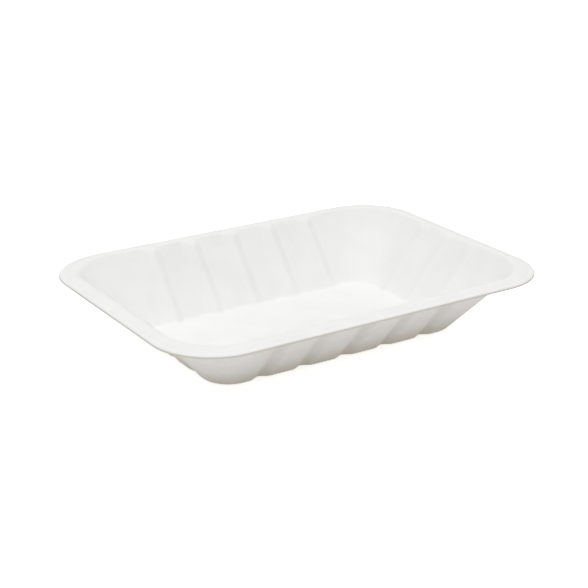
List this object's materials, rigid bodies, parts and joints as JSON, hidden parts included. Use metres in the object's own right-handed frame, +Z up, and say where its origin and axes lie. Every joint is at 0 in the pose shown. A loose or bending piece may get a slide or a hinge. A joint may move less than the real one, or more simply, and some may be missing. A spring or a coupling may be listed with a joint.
{
  "type": "chip tray",
  "caption": "Shallow white chip tray of moulded bagasse pulp, oblong with round corners, leaning fluted walls and a narrow rounded rim.",
  "frame": {"origin": "middle of the flat underside, which rests on the table", "axes": "+X along the tray's length, +Y across its width, +Z up from the underside to the rim"},
  "size_m": [0.178, 0.13, 0.0287],
  "materials": {
    "bagasse": "matte"
  },
  "bodies": {
    "root": {"tray": "bagasse"}
  },
  "joints": []
}
